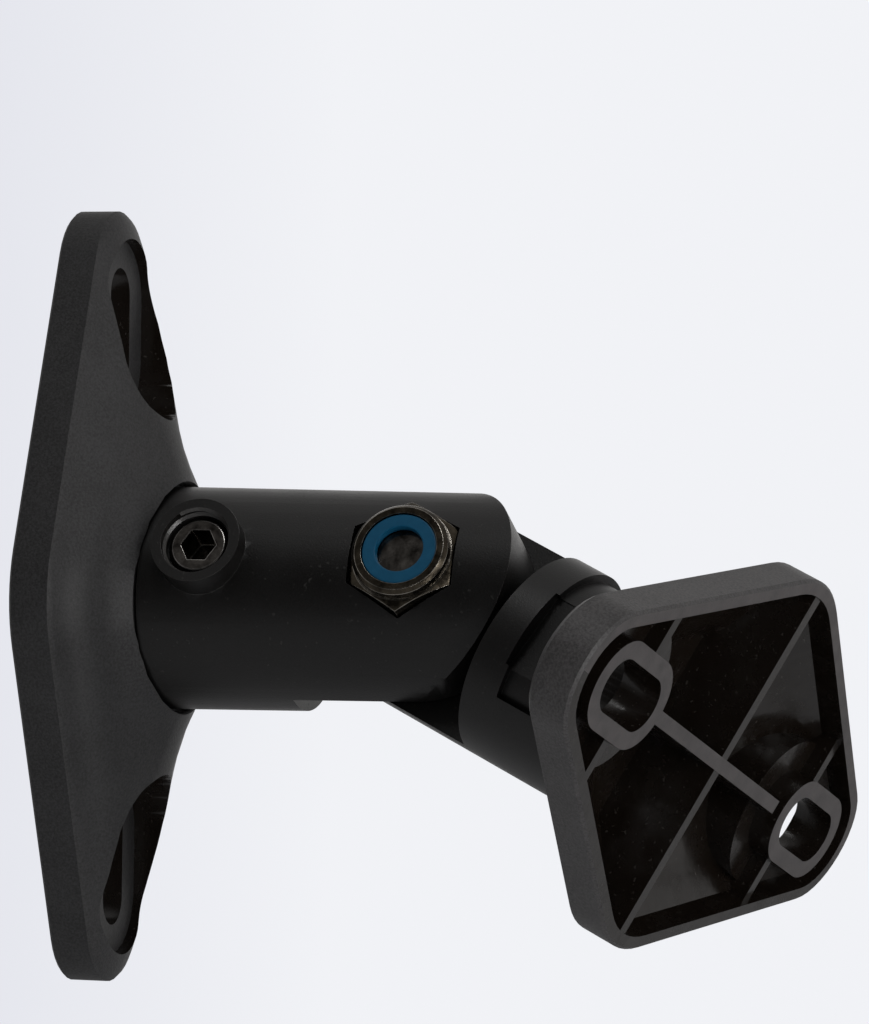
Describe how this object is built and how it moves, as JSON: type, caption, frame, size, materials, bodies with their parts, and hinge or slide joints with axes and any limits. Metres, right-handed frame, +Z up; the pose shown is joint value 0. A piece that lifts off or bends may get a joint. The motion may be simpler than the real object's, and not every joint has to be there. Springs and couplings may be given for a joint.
{
  "type": "loudspeaker wall bracket",
  "caption": "Black moulded wall bracket for a small loudspeaker: a diamond wall plate, a turning arm, a bolted tilt joint and a turning diamond speaker plate.",
  "frame": {"origin": "middle of the wall plate's back face, on the wall", "axes": "+Z up along the wall plate's length, +Y into the wall, the arm points along -Y"},
  "size_m": [0.0951, 0.0985, 0.098],
  "materials": {
    "moulded_black": "fine moulded texture",
    "zinc_steel": "dull zinc",
    "blued_steel": "dark oiled",
    "blue_nylon": "smooth"
  },
  "bodies": {
    "wall_base": {"wall_plate": "moulded_black"},
    "arm_body": {"arm": "moulded_black", "arm_set_screw": "blued_steel", "pivot_bolt": "zinc_steel", "bolt_washer": "zinc_steel", "pivot_nut": "zinc_steel", "nut_ring": "blue_nylon"},
    "knuckle_body": {"knuckle": "moulded_black", "knuckle_set_screw": "blued_steel"},
    "speaker_body": {"speaker_plate": "moulded_black"}
  },
  "joints": [
    {"name": "arm_swivel", "type": "hinge", "parent": "wall_base", "child": "arm_body", "pos_m": [0, -0.02, 0], "axis": [0, -1, 0], "continuous": true},
    {"name": "tilt", "type": "hinge", "parent": "arm_body", "child": "knuckle_body", "pos_m": [0, -0.0469, 0], "axis": [0.8934, 0, -0.4493], "range_deg": [-102.9, 47.1]},
    {"name": "plate_swivel", "type": "hinge", "parent": "knuckle_body", "child": "speaker_body", "pos_m": [-0.00631, -0.07341, -0.01254], "axis": [-0.2102, -0.8838, -0.418], "continuous": true}
  ]
}
